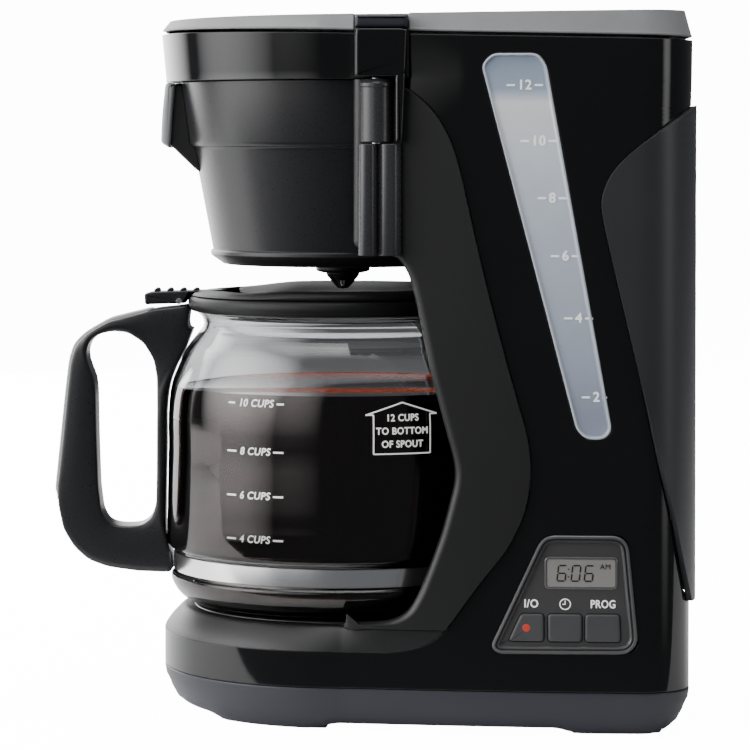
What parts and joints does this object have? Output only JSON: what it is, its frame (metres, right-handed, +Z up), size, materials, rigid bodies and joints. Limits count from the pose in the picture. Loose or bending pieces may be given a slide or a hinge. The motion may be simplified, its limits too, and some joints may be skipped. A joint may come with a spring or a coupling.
{
  "type": "drip coffee maker",
  "caption": "Programmable drip coffee maker with side-swinging basket, hinged water lid, warming plate, level window and handled glass carafe.",
  "frame": {"origin": "centre of the bounding box in plan, on the plane the feet stand on", "axes": "+Z up, -X towards the carafe handle, which is the side the carafe comes out of, -Y out of the control panel"},
  "size_m": [0.2636, 0.1778, 0.29],
  "materials": {
    "glossy_black": "polished",
    "matte_black": "fine grain",
    "satin_grey": "satin",
    "skirt_grey": "satin",
    "grained_grey": "moulded grain",
    "rubber": "matte",
    "steel": "plated",
    "clear": "clear plastic",
    "carafe_glass": "clear",
    "plate_coating": "non-stick coating",
    "light_grey": "satin",
    "circuit_board": "lacquered",
    "red_lens": "translucent",
    "hose_silicone": "satin",
    "panel_black": "satin gloss",
    "display_tint": "tinted"
  },
  "bodies": {
    "machine": {"base_cover": "skirt_grey", "basket_pin": "steel", "check_valve": "light_grey", "control_board": "circuit_board", "control_panel": "panel_black", "cord_gland": "rubber", "display_lens": "display_tint", "foot_front_far": "rubber", "foot_front_near": "rubber", "foot_rear_far": "rubber", "foot_rear_near": "rubber", "front_frame": "matte_black", "heater_tube": "steel", "hinge_boss": "glossy_black", "hinge_column": "satin_grey", "inlet_hose": "hose_silicone", "lid_pin_far": "steel", "lid_pin_near": "steel", "main_housing": "glossy_black", "plate_gasket": "rubber", "rear_cover": "satin_grey", "riser_tube": "hose_silicone", "screw_front_far": "steel", "screw_front_near": "steel", "screw_rear_far": "steel", "screw_rear_near": "steel", "shower_head": "satin_grey", "thermal_fuse": "steel", "thermostat": "steel", "warming_plate": "plate_coating", "water_tank": "clear", "water_window": "clear"},
    "basket": {"basket_holder": "satin_grey", "basket_grip": "light_grey", "filter_basket": "satin_grey", "valve_seat": "matte_black", "valve_spring": "steel"},
    "drip_stop": {"drip_valve": "light_grey"},
    "lid": {"top_lid": "grained_grey"},
    "carafe": {"carafe_glass": "carafe_glass", "carafe_collar": "satin_grey", "carafe_handle": "satin_grey", "handle_inlay": "light_grey", "handle_screw": "steel", "carafe_pin": "steel"},
    "carafe_top": {"carafe_lid": "satin_grey"},
    "power_key": {"button_power": "light_grey", "power_lamp": "red_lens"},
    "clock_key": {"button_clock": "light_grey"},
    "program_key": {"button_program": "light_grey"}
  },
  "joints": [
    {"name": "lid_hinge", "type": "hinge", "parent": "machine", "child": "lid", "pos_m": [0.1292, 0, 0.282], "axis": [0, 1, 0], "range_deg": [0, 95]},
    {"name": "basket_swing", "type": "hinge", "parent": "machine", "child": "basket", "pos_m": [0.0045, -0.08, 0.2625], "axis": [0, 0, 1], "range_deg": [0, 100]},
    {"name": "drip_stop_slide", "type": "slide", "parent": "basket", "child": "drip_stop", "axis": [0, 0, 1], "range_m": [0, 0.003], "stiffness_N_per_m": 60, "springref_m": -0.002, "deforming": ["valve_spring"]},
    {"name": "carafe_slide", "type": "slide", "parent": "machine", "child": "carafe", "axis": [-1, 0, 0], "range_m": [0, 0.23]},
    {"name": "carafe_lid_hinge", "type": "hinge", "parent": "carafe", "child": "carafe_top", "pos_m": [-0.0786, 0, 0.1704], "axis": [0, -1, 0], "range_deg": [0, 2]},
    {"name": "power_press", "type": "slide", "parent": "machine", "child": "power_key", "axis": [0, 1, 0], "range_m": [0, 0.001], "stiffness_N_per_m": 300, "springref_m": -0.001},
    {"name": "clock_press", "type": "slide", "parent": "machine", "child": "clock_key", "axis": [0, 1, 0], "range_m": [0, 0.001], "stiffness_N_per_m": 300, "springref_m": -0.001},
    {"name": "program_press", "type": "slide", "parent": "machine", "child": "program_key", "axis": [0, 1, 0], "range_m": [0, 0.001], "stiffness_N_per_m": 300, "springref_m": -0.001}
  ]
}
